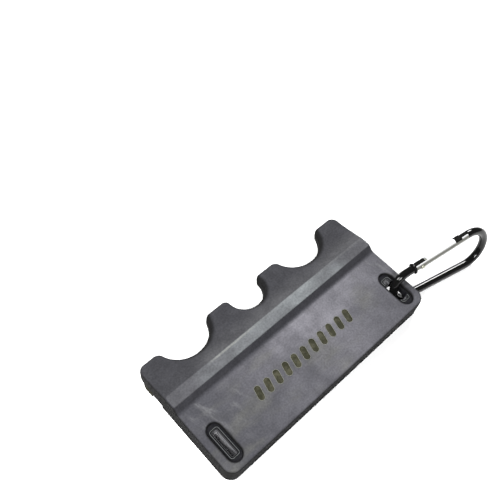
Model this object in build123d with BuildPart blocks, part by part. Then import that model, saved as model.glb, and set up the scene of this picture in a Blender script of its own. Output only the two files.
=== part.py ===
"""Portable three-cue holder: a weighted rubber block with three cue notches and a hanging clip.

Frame: millimetres, +X along the row of notches towards the clip, +Y towards the tooth tips, +Z up.
The origin is the middle of the holder's footprint, on the surface that it stands on.
"""
from build123d import *
from math import cos, radians, sin
import os

os.makedirs("parts", exist_ok=True)

# Holder: plan and heights
holder_length = 131.5
holder_depth = 64.0
plate_height = 13.5
ridge_height = 16.5
tip_height = 13.1
left_end = -holder_length / 2
back_edge = -holder_depth / 2
tip_edge = holder_depth / 2
back_corner_radius = 5.4
tooth_corner_radius = 3.6
middle_tooth_corner_radius = 2.7
rim_radius = 1.5

# Ridge: distances from the back edge
ridge_foot = 35.2
ridge_back = 38.4
ridge_front = 43.5
front_slope_mid = (53.0, 14.3)
ridge_foot_radius = 2.5
ridge_edge_radius = 0.6

# Tooth underside: distances from the back edge, and heights
foot_back = 53.1
foot_front = 59.2
foot_seat_height = 5.3
nose_knee = (61.2, 7.0)
nose_height = 12.0

# Notches: centre along X, radius, and distance of the centre from the back edge
outer_notch_radius = 14.2
middle_notch_radius = 9.45
outer_notch_centre = 66.15
middle_notch_centre = 61.2
notches = [
    (-38.95, outer_notch_radius, outer_notch_centre),
    (-1.15, middle_notch_radius, middle_notch_centre),
    (36.8, outer_notch_radius, outer_notch_centre),
]

# Notch lips: the upper part of each notch wall, which overhangs the part below it
lip_foot_height = 8.4
lip_overhang = 3.5

# Base pad, ballast plate and the pocket that holds it
base_thickness = 3.5
base_depth = 46.0
base_edge_radius = 0.8
pocket_size = (96.0, 35.0)
pocket_centre = (0.0, back_edge + 26.0)
pocket_corner_radius = 4.0
pocket_top = 8.5
ballast_thickness = 4.0
pocket_clearance = 0.15

# End slots and the liners in them
slot_centre_x = 57.75
slot_centre_y = back_edge + 13.3
slot_width = 7.1
slot_length = 20.4
slot_rim_radius = 0.8
liner_top = 12.4
liner_foot = 0.3
liner_rim_chamfer = 0.25
liner_mouth = (3.4, 14.4)
liner_mouth_radius = 0.9
rod_mouth = (5.6, 10.0)
rod_mouth_y = slot_centre_y - 0.6

# Relief under the bar that carries the clip
relief_width = 18.4
relief_height = 6.2
relief_corner_radius = 3.0

# Row of sunk grip bars on the plate
bar_count = 11
bar_pitch = 5.9
bar_size = (3.2, 7.2)
bar_slant = 16.0
bar_depth = 0.6
bar_row_centre = (-1.75, back_edge + 19.1)

# Clip: shape in its own plane
rod_radius = 2.3
rod_flat = 2.05
small_bend = 8.6
large_bend = 11.4
gate_slope = 8.2
clip_yaw = 12.7
clip_lean = 17.0
floor_gap = 0.05
rod_offset = (-0.2, 0.3)
collar_radius = 2.95
collar_thickness = 1.2
collar_edge_radius = 0.3

# Clip: gate, hinge and nose, measured along the gate from the rivet
rivet_station = 8.9
gate_radius = 2.5
gate_edge_chamfer = 0.3
heel_gap = 0.05
tang_thickness = 2.2
tang_end = 2.45
tang_half_height = 2.2
tang_corner_radius = 0.25
collar_face = -4.0
hinge_slot_end = 3.5
hinge_slot_width = 2.5
rivet_radius = 0.8
rivet_clearance = 0.05
rivet_head_radius = 1.4
rivet_seat = 2.2
rivet_head_height = 0.6
bore_radius = 1.25
bore_end = 15.0
plunger_radius = 1.15
plunger_head = 3.5
stem_radius = 0.6
stem_length = 4.0
plunger_travel = 1.0
plunger_gap = 0.02
spring_wire = 0.2
spring_radius = 0.95
spring_turns = 7
nose_gap = 0.5
neck_width = 1.7
neck_length = 4.8
head_width = 3.2
head_length = 3.6
nose_half_height = 1.9
nose_corner_radius = 0.5
nose_clearance = 0.35


def from_back(point):
    """A (distance from the back edge, height) pair as a (y, z) pair."""
    return (back_edge + point[0], point[1])


def notch_shapes(gap):
    """The three notches seen from above, each a circle grown by a gap, the middle one with a straight mouth."""
    with BuildSketch() as shapes:
        for centre_x, radius, centre_y in notches:
            with Locations((centre_x, back_edge + centre_y)):
                Circle(radius + gap)
                if centre_y < holder_depth:
                    mouth = (2 * (radius + gap), holder_depth - centre_y + 1)
                    Rectangle(*mouth, align=(Align.CENTER, Align.MIN))
    return shapes.sketch


def tooth_corners(outline):
    """The corners on the line of the tooth tips, the two of the middle notch first."""
    return outline.vertices().group_by(Axis.Y)[-1].sort_by(lambda corner: abs(corner.X))


def holder_outline():
    """The footprint: rounded back corners, and three notches between four blunt teeth."""
    with BuildSketch() as outline:
        Rectangle(holder_length, holder_depth)
        fillet(outline.vertices().group_by(Axis.Y)[0], back_corner_radius)
        add(notch_shapes(0), mode=Mode.SUBTRACT)
        fillet(tooth_corners(outline)[2:], tooth_corner_radius)
        fillet(tooth_corners(outline)[:2], middle_tooth_corner_radius)
    return outline.sketch


def stadium(centre_x, width, length, height):
    """An end slot's outline at a height, with its long way along Y."""
    with BuildSketch(Plane.XY.offset(height)) as outline:
        with Locations((centre_x, slot_centre_y)):
            SlotOverall(length, width, rotation=90)
    return outline.sketch


def bar_relief():
    """The space under the clip's bar, with the rounded inner corner of the bar left standing."""
    slot_face = slot_centre_x + rod_mouth[0] / 2
    inboard_face = slot_centre_x - rod_mouth[0] / 2
    side_plane = Plane.XZ.offset(-(slot_centre_y + relief_width / 2))
    with BuildPart() as relief:
        with BuildSketch(side_plane):
            with Locations((inboard_face, -1.0)):
                Rectangle(20.0, relief_height + 1.0, align=(Align.MIN, Align.MIN))
            with Locations((slot_face, relief_height)):
                Rectangle(relief_corner_radius, relief_corner_radius, align=(Align.MIN, Align.MIN))
            with Locations((slot_face + relief_corner_radius, relief_height + relief_corner_radius)):
                Circle(relief_corner_radius, mode=Mode.SUBTRACT)
        extrude(amount=relief_width)
    return relief.part


def is_rim(edge):
    """True for the edges round the top face, and false for the ridge lines that cross it."""
    start, middle, end = edge @ 0, edge @ 0.5, edge @ 1
    high = min(start.Z, middle.Z, end.Z) > tip_height - 0.5
    along_x = edge.geom_type == GeomType.LINE and abs(end.Y - start.Y) < 0.001
    inside = back_edge + 1 < middle.Y < tip_edge - 0.5
    return high and not (along_x and inside)


def is_collar_edge(edge):
    """True for the two outer circles of the clip's collar."""
    return abs(edge.radius - collar_radius) < 0.001


def is_head_rim(edge):
    """True for the outer circles of the rivet's heads."""
    depth = abs((edge.arc_center - gate_plane.origin).dot(clip_normal))
    return edge.radius > rivet_radius + 0.1 and depth > rivet_seat + 0.1


def save(builder, name):
    """Label a finished piece and write its STEP file."""
    builder.part.label = name
    export_step(builder.part, f"parts/{name}.step")


relief_space = bar_relief()

# Top shell: the coloured moulding, with its ridge, teeth, end slots and ballast pocket
with BuildPart() as top_shell:
    with BuildSketch(Plane.YZ.offset(left_end)) as section:
        with BuildLine():
            Polyline(
                from_back((ridge_front, ridge_height)),
                from_back((ridge_back, ridge_height)),
                from_back((ridge_foot, plate_height)),
                from_back((0, plate_height)),
                from_back((0, base_thickness)),
                from_back((foot_back, base_thickness)),
                from_back((foot_back, foot_seat_height)),
                from_back((foot_front, foot_seat_height)),
                from_back(nose_knee),
                from_back((holder_depth - 0.4, nose_height)),
                from_back((holder_depth, nose_height + 0.4)),
                from_back((holder_depth, tip_height)),
            )
            ThreePointArc(
                from_back((holder_depth, tip_height)),
                from_back(front_slope_mid),
                from_back((ridge_front, ridge_height)),
            )
        make_face()
        fillet(section.vertices().sort_by_distance(from_back((ridge_foot, plate_height)))[0], ridge_foot_radius)
        fillet(section.vertices().sort_by_distance(from_back((ridge_back, ridge_height)))[0], ridge_edge_radius)
    extrude(amount=holder_length)
    with BuildSketch():
        add(holder_outline())
    extrude(amount=ridge_height + 1, mode=Mode.INTERSECT)
    fillet(top_shell.edges().filter_by(is_rim), rim_radius)
    with BuildSketch():
        add(notch_shapes(lip_overhang))
    extrude(amount=lip_foot_height, mode=Mode.SUBTRACT)
    for side in (-1, 1):
        with BuildSketch():
            add(stadium(side * slot_centre_x, slot_width, slot_length, 0))
        extrude(amount=ridge_height, mode=Mode.SUBTRACT)
    slot_rims = top_shell.edges().filter_by_position(Axis.Z, plate_height - 0.01, plate_height + 0.01)
    slot_rims = slot_rims.filter_by(lambda edge: abs((edge @ 0.5).Y - slot_centre_y) < slot_length / 2 + 0.1)
    slot_rims = slot_rims.filter_by(lambda edge: abs(abs((edge @ 0.5).X) - slot_centre_x) < slot_width / 2 + 0.1)
    fillet(slot_rims, slot_rim_radius)
    with BuildSketch(Plane.XY.offset(base_thickness)):
        with Locations(pocket_centre):
            RectangleRounded(*pocket_size, pocket_corner_radius)
    extrude(amount=pocket_top - base_thickness, mode=Mode.SUBTRACT)
    with BuildSketch(Plane.XY.offset(plate_height)):
        with Locations(bar_row_centre):
            with GridLocations(bar_pitch, 0, bar_count, 1):
                SlotOverall(bar_size[1], bar_size[0], rotation=90 - bar_slant)
    extrude(amount=-bar_depth, mode=Mode.SUBTRACT)
    add(relief_space, mode=Mode.SUBTRACT)
save(top_shell, "top_shell")

# Base pad: the non-slip sole, with a boss that holds the ballast plate in its pocket
with BuildPart() as base_pad:
    with BuildSketch() as sole:
        Rectangle(holder_length, holder_depth)
        fillet(sole.vertices().group_by(Axis.Y)[0], back_corner_radius)
        with Locations((0, back_edge + base_depth)):
            Rectangle(holder_length, holder_depth, align=(Align.CENTER, Align.MIN), mode=Mode.SUBTRACT)
    extrude(amount=base_thickness)
    chamfer(base_pad.faces().sort_by(Axis.Z)[0].edges(), base_edge_radius)
    with BuildSketch(Plane.XY.offset(base_thickness)):
        with Locations(pocket_centre):
            boss_size = [side - 2 * pocket_clearance for side in pocket_size]
            RectangleRounded(*boss_size, pocket_corner_radius - pocket_clearance)
    extrude(amount=pocket_top - ballast_thickness - base_thickness)
    for side in (-1, 1):
        with BuildSketch():
            add(stadium(side * slot_centre_x, slot_width, slot_length, 0))
        extrude(amount=base_thickness, mode=Mode.SUBTRACT)
    add(relief_space, mode=Mode.SUBTRACT)
save(base_pad, "base_pad")

# Ballast plate: flat steel bar that keeps the holder down under leaning cues
with BuildPart() as ballast_plate:
    with BuildSketch(Plane.XY.offset(pocket_top - ballast_thickness)):
        with Locations(pocket_centre):
            plate_size = [side - 2 * pocket_clearance for side in pocket_size]
            RectangleRounded(*plate_size, pocket_corner_radius - pocket_clearance)
    extrude(amount=ballast_thickness)
save(ballast_plate, "ballast_plate")

# Tooth feet: four rubber lips under the teeth
with BuildPart() as tooth_feet:
    with BuildSketch(Plane.YZ.offset(left_end)) as foot_section:
        with BuildLine():
            Polyline(
                from_back((foot_back, foot_seat_height)),
                from_back((foot_back, 0)),
                from_back((foot_front - 1.6, 0)),
                from_back((foot_front, 1.6)),
                from_back((foot_front, foot_seat_height)),
                close=True,
            )
        make_face()
        fillet(foot_section.vertices().sort_by_distance(from_back((foot_back, 0)))[0], 1.2)
        fillet(foot_section.vertices().sort_by_distance(from_back((foot_front - 1.6, 0)))[0], 1.0)
    extrude(amount=holder_length)
    with BuildSketch():
        add(notch_shapes(lip_overhang))
    extrude(amount=plate_height, mode=Mode.SUBTRACT)
save(tooth_feet, "tooth_feet")

# Slot liners: black inserts that narrow both end slots, the right one opened up round the clip's rod
with BuildPart() as slot_liners:
    for side in (-1, 1):
        with BuildSketch():
            add(stadium(side * slot_centre_x, slot_width, slot_length, liner_foot))
        extrude(amount=liner_top - liner_foot)
        with BuildSketch(Plane.XY.offset(liner_foot)):
            with Locations((side * slot_centre_x, slot_centre_y)):
                RectangleRounded(*liner_mouth, liner_mouth_radius)
        extrude(amount=liner_top, mode=Mode.SUBTRACT)
    for liner_face in slot_liners.faces().group_by(Axis.Z)[-1]:
        chamfer(liner_face.inner_wires()[0].edges(), liner_rim_chamfer)
    with BuildSketch(Plane.XY.offset(liner_foot)):
        with Locations((slot_centre_x, rod_mouth_y)):
            RectangleRounded(*rod_mouth, liner_mouth_radius)
    extrude(amount=liner_top, mode=Mode.SUBTRACT)
    add(relief_space, mode=Mode.SUBTRACT)
save(slot_liners, "slot_liners")

# Clip frame: along the clip, across it towards the gate, and the normal of its plane
yaw = radians(clip_yaw)
lean = radians(clip_lean)
along = Vector(cos(yaw), -sin(yaw), 0)
across = Vector(sin(lean) * sin(yaw), sin(lean) * cos(yaw), cos(lean))
clip_normal = along.cross(across)
pivot_height = small_bend * cos(lean) + rod_radius + floor_gap
slot_point = Vector(slot_centre_x + rod_offset[0], slot_centre_y + rod_offset[1], pivot_height)
pivot = slot_point + along * small_bend
clip_plane = Plane(origin=pivot, x_dir=along, z_dir=clip_normal)

# Clip outline in its plane: a small bend, a straight spine, and a large bend back to the gate's line
slope = radians(gate_slope)
bend_rise = large_bend - small_bend
spine_length = bend_rise * (1 + cos(slope)) / sin(slope)
gate_start = (-small_bend * sin(slope), small_bend * cos(slope))
nose_point = (spine_length - large_bend * sin(slope), bend_rise + large_bend * cos(slope))
rivet_point = (gate_start[0] + rivet_station * cos(slope), gate_start[1] + rivet_station * sin(slope))
rod_start = (rivet_point[0] + collar_face * cos(slope), rivet_point[1] + collar_face * sin(slope))
nose_station = spine_length - rivet_station
gate_plane = Plane(
    origin=clip_plane.from_local_coords((*rivet_point, 0)),
    x_dir=along * cos(slope) + across * sin(slope),
    z_dir=clip_normal,
)


def gate_section(station):
    """The plane square to the gate at a distance from the rivet, with its X along the clip's normal."""
    middle = gate_plane.from_local_coords((station, 0, 0))
    return Plane(origin=middle, x_dir=clip_normal, z_dir=gate_plane.x_dir)


def gate_top(height):
    """The plane seen from outside the gate, at a height over its middle, with its X along the gate."""
    middle = gate_plane.from_local_coords((0, height, 0))
    return Plane(origin=middle, x_dir=gate_plane.x_dir, z_dir=gate_plane.y_dir)


def nose_tongue(gap):
    """The T-shaped tongue seen from outside the gate, grown by a gap on every side."""
    head_back = nose_station - neck_length - head_length
    with BuildSketch(gate_top(-gate_radius)) as tongue:
        with Locations((head_back - gap, 0)):
            head_size = (head_length + 2 * gap, head_width + 2 * gap)
            Rectangle(*head_size, align=(Align.MIN, Align.CENTER))
            neck_size = (head_length + neck_length + gap, neck_width + 2 * gap)
            Rectangle(*neck_size, align=(Align.MIN, Align.CENTER))
    return tongue.sketch


# Clip body: the bent rod with flattened sides, its collar and tang, and the T-shaped nose
with BuildPart() as clip_body:
    with BuildLine(clip_plane):
        Line(rod_start, gate_start)
        ThreePointArc(gate_start, (-small_bend, 0), (0, -small_bend))
        Line((0, -small_bend), (spine_length, -small_bend))
        ThreePointArc((spine_length, -small_bend), (spine_length + large_bend, bend_rise), nose_point)
    with BuildSketch(gate_section(collar_face)):
        Circle(rod_radius)
        Rectangle(2 * rod_flat, 2 * rod_radius, mode=Mode.INTERSECT)
    sweep()
    with BuildSketch(gate_section(collar_face)):
        Circle(collar_radius)
    extrude(amount=-collar_thickness)
    fillet(clip_body.edges().filter_by(GeomType.CIRCLE).filter_by(is_collar_edge), collar_edge_radius)
    with BuildSketch(gate_plane) as tang:
        with Locations((collar_face - 0.1, 0)):
            tang_size = (tang_end - collar_face + 0.1, 2 * tang_half_height)
            Rectangle(*tang_size, align=(Align.MIN, Align.CENTER))
        fillet(tang.vertices(), tang_corner_radius)
    extrude(amount=tang_thickness / 2, both=True)
    with BuildSketch(gate_plane):
        Circle(rivet_radius + rivet_clearance)
    extrude(amount=tang_thickness, both=True, mode=Mode.SUBTRACT)
    with BuildSketch(gate_plane, mode=Mode.PRIVATE) as tongue_side:
        with Locations((nose_station + 0.1, 0)):
            tongue_size = (head_length + neck_length + 0.1, 2 * nose_half_height)
            Rectangle(*tongue_size, align=(Align.MAX, Align.CENTER))
        fillet(tongue_side.vertices(), nose_corner_radius)
    tongue_block = extrude(tongue_side.sketch, amount=head_width, both=True, mode=Mode.PRIVATE)
    tongue_prism = extrude(nose_tongue(0), amount=2 * gate_radius, mode=Mode.PRIVATE)
    add(tongue_block & tongue_prism)
save(clip_body, "clip_body")

# Clip gate: hinge ears with a slot for the tang, a blind bore for the spring, and the nose pocket
gate_end = nose_station - nose_gap
with BuildPart() as clip_gate:
    with BuildSketch(gate_section(collar_face + heel_gap)):
        Circle(gate_radius)
    extrude(amount=gate_end - collar_face - heel_gap)
    chamfer(clip_gate.faces().filter_by(GeomType.PLANE).edges(), gate_edge_chamfer)
    with BuildSketch(gate_plane):
        with Locations((collar_face, 0)):
            Rectangle(-collar_face, gate_radius + 1, align=(Align.MIN, Align.MAX))
        Circle(gate_radius, mode=Mode.SUBTRACT)
    extrude(amount=gate_radius, both=True, mode=Mode.SUBTRACT)
    with BuildSketch(gate_plane):
        with Locations((collar_face, 0)):
            slit_size = (hinge_slot_end - collar_face, 2 * gate_radius + 1)
            Rectangle(*slit_size, align=(Align.MIN, Align.CENTER))
    extrude(amount=hinge_slot_width / 2, both=True, mode=Mode.SUBTRACT)
    with BuildSketch(gate_section(0)):
        Circle(bore_radius)
    extrude(amount=bore_end, mode=Mode.SUBTRACT)
    with BuildSketch(gate_plane):
        Circle(rivet_radius)
    extrude(amount=gate_radius, both=True, mode=Mode.SUBTRACT)
    for side in (-1, 1):
        with BuildSketch(gate_plane.offset(side * rivet_seat)):
            Circle(rivet_head_radius + 0.2)
        extrude(amount=side * gate_radius, mode=Mode.SUBTRACT)
    extrude(nose_tongue(nose_clearance), amount=2 * gate_radius, mode=Mode.SUBTRACT)
save(clip_gate, "clip_gate")

# Gate rivet: a pin through ears and tang with a domed head at each side
with BuildPart() as gate_rivet:
    with BuildSketch(gate_plane):
        Circle(rivet_radius)
    extrude(amount=rivet_seat + 0.1, both=True)
    for side in (-1, 1):
        with BuildSketch(gate_plane.offset(side * rivet_seat)):
            Circle(rivet_head_radius)
        extrude(amount=side * rivet_head_height)
    head_rims = gate_rivet.edges().filter_by(GeomType.CIRCLE).filter_by(is_head_rim)
    fillet(head_rims, rivet_head_height * 0.7)
save(gate_rivet, "gate_rivet")

# Gate plunger: presses on the flat end of the tang, with a stem that guides the spring
with BuildPart() as gate_plunger:
    with BuildSketch(gate_section(tang_end + plunger_gap)):
        Circle(plunger_radius)
    extrude(amount=plunger_head)
    with BuildSketch(gate_section(tang_end + plunger_gap)):
        Circle(stem_radius)
    extrude(amount=plunger_head + stem_length)
save(gate_plunger, "gate_plunger")

# Gate spring: round the plunger's stem, drawn at the length that it has when the gate is open
spring_start = tang_end + plunger_gap + plunger_head + plunger_travel + spring_wire + plunger_gap
spring_length = bore_end - spring_wire - plunger_gap - spring_start
with BuildPart() as gate_spring:
    with BuildLine():
        spring_pitch = spring_length / spring_turns
        coil_base = gate_section(spring_start).origin
        coil = Helix(spring_pitch, spring_length, spring_radius, coil_base, gate_plane.x_dir)
    with BuildSketch(Plane(origin=coil @ 0, z_dir=coil % 0)):
        Circle(spring_wire)
    sweep(is_frenet=True)
save(gate_spring, "gate_spring")
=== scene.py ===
"""Studio model of a portable three-cue holder with a hanging clip, laid out as a Blender add-on.

Sizes are in millimetres in the formulas and in metres in the meshes. +X runs along the notches
towards the clip, +Y towards the tooth tips, +Z up, and the holder stands on Z = 0.
"""
import math

import bmesh
import bpy
import numpy as np
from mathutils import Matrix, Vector


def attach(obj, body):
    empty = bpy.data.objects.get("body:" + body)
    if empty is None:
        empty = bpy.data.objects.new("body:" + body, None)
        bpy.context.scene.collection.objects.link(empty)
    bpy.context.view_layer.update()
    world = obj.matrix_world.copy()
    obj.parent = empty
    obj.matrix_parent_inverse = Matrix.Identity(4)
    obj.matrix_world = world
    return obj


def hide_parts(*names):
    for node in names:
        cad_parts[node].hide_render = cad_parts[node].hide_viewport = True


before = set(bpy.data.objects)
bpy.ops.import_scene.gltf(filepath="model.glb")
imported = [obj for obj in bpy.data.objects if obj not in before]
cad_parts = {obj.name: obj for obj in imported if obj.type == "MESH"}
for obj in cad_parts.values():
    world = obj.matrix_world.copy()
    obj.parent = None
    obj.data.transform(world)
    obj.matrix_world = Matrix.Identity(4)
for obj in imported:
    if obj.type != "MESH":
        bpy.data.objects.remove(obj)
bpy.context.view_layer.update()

bl_info = {
    "name": "Cue holder studio",
    "version": (1, 0, 0),
    "blender": (4, 5, 0),
    "location": "3D View > Sidebar > Cue holder",
    "description": "Builds the visible pieces, finishes and stage of a portable cue holder",
    "category": "Add Mesh",
}

MM = 0.001
# Millimetres in a metre: a pattern of scale METRE / 22 repeats about every 22 mm
METRE = 1000
HOLDER = "holder"
CLIP = "clip"
GATE = "gate"
PLUNGER = "plunger"

# Heights and places on the holder, in millimetres
BACK_EDGE = -32.0
PLATE_TOP = 13.5
BAR_ROW = (-1.75, BACK_EDGE + 19.1)
SLOT_X = 57.75
SLOT_Y = BACK_EDGE + 13.3
# Notches: place along X, radius, and distance of the centre from the back edge
NOTCHES = ((-38.95, 14.2, 66.15), (-1.15, 9.45, 61.2), (36.8, 14.2, 66.15))
# Ridge: the crease behind it, its front corner and where the teeth begin, all along Y, and its crest along Z
CREASE = (BACK_EDGE + 33.4, BACK_EDGE + 35.6)
RIDGE_CORNER = BACK_EDGE + 43.8
TEETH = (BACK_EDGE + 43.2, BACK_EDGE + 44.8)
CREST = (16.15, 16.35)
# Where the plate and the ridge are palest, along X
PALEST_X = 16

# Clip: the middle of its small bend, and the turns that lay it against the floor
PIVOT = np.array([65.9396, -20.2907, 10.5742])
YAW = math.radians(12.7)
LEAN = math.radians(17.0)
SLOPE = math.radians(8.2)
ALONG = np.array([math.cos(YAW), -math.sin(YAW), 0.0])
ACROSS = np.array([math.sin(LEAN) * math.sin(YAW), math.sin(LEAN) * math.cos(YAW), math.cos(LEAN)])
OUT = np.cross(ALONG, ACROSS)
GATE_ALONG = ALONG * math.cos(SLOPE) + ACROSS * math.sin(SLOPE)
GATE_UP = -ALONG * math.sin(SLOPE) + ACROSS * math.cos(SLOPE)
SMALL_BEND = 8.6
LARGE_BEND = 11.4
RIVET_STATION = 8.9
RIVET = PIVOT + GATE_UP * SMALL_BEND + GATE_ALONG * RIVET_STATION
SPINE = (LARGE_BEND - SMALL_BEND) * (1 + math.cos(SLOPE)) / math.sin(SLOPE)
NOSE_STATION = SPINE - RIVET_STATION
# Line of painted shade along the gate: its turn round the tube, and its distance from the middle
SHADE_LINE_TURN = math.radians(33)
SHADE_LINE_OFFSET = 1.3

# Edges sharper than these stay sharp: on new surfaces, and on copies of the solids
SHARP_SURFACE = math.radians(38)
SHARP_MOULDED = math.radians(30)

# Settings that many nodes share
SMOOTH = {"interpolation_type": "SMOOTHSTEP"}
COLOUR = {"data_type": "RGBA"}


# ---------------------------------------------------------------- colours and materials

def linear(hex_colour):
    """An sRGB hex value as linear RGBA: the standard curve, one channel at a time."""
    channels = np.array([int(hex_colour[i:i + 2], 16) for i in (1, 3, 5)]) / 255
    low = channels / 12.92
    high = ((channels + 0.055) / 1.055) ** 2.4
    return (*np.where(channels <= 0.04045, low, high).tolist(), 1.0)


def node(tree, kind, settings=(), sockets=(), links=()):
    """Adds a node, sets its properties and sockets, and links (from node, output) to its inputs."""
    added = tree.nodes.new(kind)
    for name, value in dict(settings).items():
        setattr(added, name, value)
    for name, value in dict(sockets).items():
        added.inputs[name].default_value = value
    for name, (source, output) in dict(links).items():
        tree.links.new(source.outputs[output], added.inputs[name])
    return added


def new_material(name, sockets):
    """A material with a Principled shader, and its tree, shader and Object coordinates."""
    material = bpy.data.materials.new(name)
    material.use_nodes = True
    tree = material.node_tree
    shader = tree.nodes["Principled BSDF"]
    for socket, value in sockets.items():
        shader.inputs[socket].default_value = value
    return material, tree, shader, node(tree, "ShaderNodeTexCoord")


def charcoal_rubber(settings):
    """Moulded charcoal rubber: chalky and mottled on top, pale along the ridge from rubbing and painted
    sheen, with painted shade on the teeth, the crease, every rim and every wall.
    """
    material, tree, shader, where = new_material(
        "charcoal_rubber", {"Roughness": 0.75, "Specular IOR Level": 0.03}
    )
    spot = {"Vector": (where, "Object")}
    place = node(tree, "ShaderNodeSeparateXYZ", links=spot)
    # Bloom: pale patches of about 22 mm, palest near PALEST_X and paler in front of Y = -7 mm, towards the
    # ridge
    patches = node(
        tree, "ShaderNodeTexNoise", {}, {"Scale": METRE / 22, "Detail": 4.0, "Roughness": 0.6}, spot
    )
    limits = {"From Min": 0.36, "From Max": 0.64, "To Min": 0.6, "To Max": 1.3}
    cloud = node(tree, "ShaderNodeMapRange", SMOOTH, limits, {"Value": (patches, "Fac")})
    shifted = node(tree, "ShaderNodeMath", {"operation": "SUBTRACT"}, {1: PALEST_X * MM}, {0: (place, "X")})
    aside = node(tree, "ShaderNodeMath", {"operation": "ABSOLUTE"}, {}, {0: (shifted, "Value")})
    middle = node(
        tree, "ShaderNodeMapRange", {}, {"From Min": 68 * MM, "From Max": 0.0}, {"Value": (aside, "Value")}
    )
    limits = {"From Min": -14 * MM, "From Max": -7 * MM, "To Min": 0.42}
    strip = node(tree, "ShaderNodeMapRange", SMOOTH, limits, {"Value": (place, "Y")})
    links = {0: (middle, "Result"), 1: (strip, "Result")}
    wash = node(tree, "ShaderNodeMath", {"operation": "MULTIPLY"}, {}, links)
    links = {0: (wash, "Value"), 1: (cloud, "Result")}
    bloom = node(tree, "ShaderNodeMath", {"operation": "MULTIPLY"}, {}, links)
    pale = {6: linear(settings.shell_colour), 7: linear(settings.bloom_colour)}
    plate = node(tree, "ShaderNodeMix", COLOUR, pale, {0: (bloom, "Value")})
    # Olive smears about 9 mm wide, drawn out along the plate by wiping
    wiped = node(tree, "ShaderNodeMapping", {"vector_type": "TEXTURE"}, {"Scale": (2.6, 1.0, 1.0)}, spot)
    smears = node(
        tree, "ShaderNodeTexNoise", {}, {"Scale": METRE / 9, "Detail": 5.0}, {"Vector": (wiped, "Vector")}
    )
    limits = {"From Min": 0.46, "From Max": 0.74, "To Max": 0.5}
    smear = node(tree, "ShaderNodeMapRange", SMOOTH, limits, {"Value": (smears, "Fac")})
    links = {0: (smear, "Result"), 6: (plate, 2)}
    wiped_plate = node(tree, "ShaderNodeMix", COLOUR, {7: linear(settings.smear_colour)}, links)
    # Pale strokes about 1.5 mm wide and 7 mm long, across the plate, where hands take its two ends
    drawn = {"Rotation": (0.0, 0.0, math.radians(17)), "Scale": (1.0, 4.5, 1.0)}
    stroke = node(tree, "ShaderNodeMapping", {"vector_type": "TEXTURE"}, drawn, spot)
    strokes = node(
        tree, "ShaderNodeTexNoise", {}, {"Scale": METRE / 3.0, "Detail": 3.0}, {"Vector": (stroke, "Vector")}
    )
    sharp = {"From Min": 0.52, "From Max": 0.78, "To Max": 0.8}
    worn = node(tree, "ShaderNodeMapRange", SMOOTH, sharp, {"Value": (strokes, "Fac")})
    outward = node(tree, "ShaderNodeMath", {"operation": "ABSOLUTE"}, {}, {0: (place, "X")})
    limits = {"From Min": 30 * MM, "From Max": 44 * MM}
    ends = node(tree, "ShaderNodeMapRange", SMOOTH, limits, {"Value": (outward, "Value")})
    links = {0: (worn, "Result"), 1: (ends, "Result")}
    scuff = node(tree, "ShaderNodeMath", {"operation": "MULTIPLY"}, {}, links)
    limits = {"From Min": -22 * MM, "From Max": -10 * MM, "To Min": 0.15}
    gripped = node(tree, "ShaderNodeMapRange", SMOOTH, limits, {"Value": (place, "Y")})
    links = {0: (scuff, "Value"), 1: (gripped, "Result")}
    scuff = node(tree, "ShaderNodeMath", {"operation": "MULTIPLY"}, {}, links)
    links = {0: (scuff, "Value"), 6: (wiped_plate, 2)}
    scuffed = node(tree, "ShaderNodeMix", COLOUR, {7: linear(settings.scuff_colour)}, links)
    # Crease behind the ridge: painted shade, dark for 4 mm
    limits = {"From Min": CREASE[0] * MM, "From Max": CREASE[1] * MM}
    crease_shade = node(tree, "ShaderNodeMapRange", SMOOTH, limits, {"Value": (place, "Y")})
    links = {0: (crease_shade, "Result"), 6: (scuffed, 2)}
    crease_shaded = node(tree, "ShaderNodeMix", COLOUR, {7: linear(settings.crease_shade_colour)}, links)
    # Teeth: painted shade makes them darker than the plate, as their slope turns from the light; darkest
    # towards the tips and the left end
    limits = {"From Min": TEETH[0] * MM, "From Max": TEETH[1] * MM}
    forward = node(tree, "ShaderNodeMapRange", SMOOTH, limits, {"Value": (place, "Y")})
    limits = {"From Min": 21 * MM, "From Max": 13.5 * MM}
    behind = node(tree, "ShaderNodeMapRange", {}, limits, {"Value": (place, "Y")})
    limits = {"From Min": -52 * MM, "From Max": -36 * MM, "To Min": 0.15}
    inner = node(tree, "ShaderNodeMapRange", SMOOTH, limits, {"Value": (place, "X")})
    links = {0: (behind, "Result"), 1: (inner, "Result")}
    cloud_share = node(tree, "ShaderNodeMath", {"operation": "MULTIPLY"}, {}, links)
    links = {0: (cloud_share, "Value"), 1: (cloud, "Result")}
    cloud_share = node(tree, "ShaderNodeMath", {"operation": "MULTIPLY"}, {}, links)
    tones = {6: linear(settings.tooth_shade_colour), 7: linear(settings.tooth_smear_colour)}
    tooth = node(tree, "ShaderNodeMix", COLOUR, tones, {0: (cloud_share, "Value")})
    links = {0: (forward, "Result"), 6: (crease_shaded, 2), 7: (tooth, 2)}
    toothed = node(tree, "ShaderNodeMix", COLOUR, {}, links)
    # Notch rims: painted shade darkens the round of each edge, by 1.1 mm on the far side and 3.7 mm towards
    # the clip
    shade_shift = 1.3
    flat = node(tree, "ShaderNodeCombineXYZ", links={"X": (place, "X"), "Y": (place, "Y")})
    for x, radius, y in NOTCHES:
        centre = {1: ((x + shade_shift) * MM, (BACK_EDGE + y) * MM, 0.0)}
        away = node(tree, "ShaderNodeVectorMath", {"operation": "DISTANCE"}, centre, {0: (flat, "Vector")})
        limits = {"From Min": (radius + 0.2) * MM, "From Max": (radius + 2.4) * MM, "To Min": 0.1}
        unshaded = node(tree, "ShaderNodeMapRange", SMOOTH, limits, {"Value": (away, "Value")})
        links = {0: (unshaded, "Result"), 7: (toothed, 2)}
        toothed = node(tree, "ShaderNodeMix", COLOUR, {6: linear(settings.wall_shade_colour)}, links)
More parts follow.
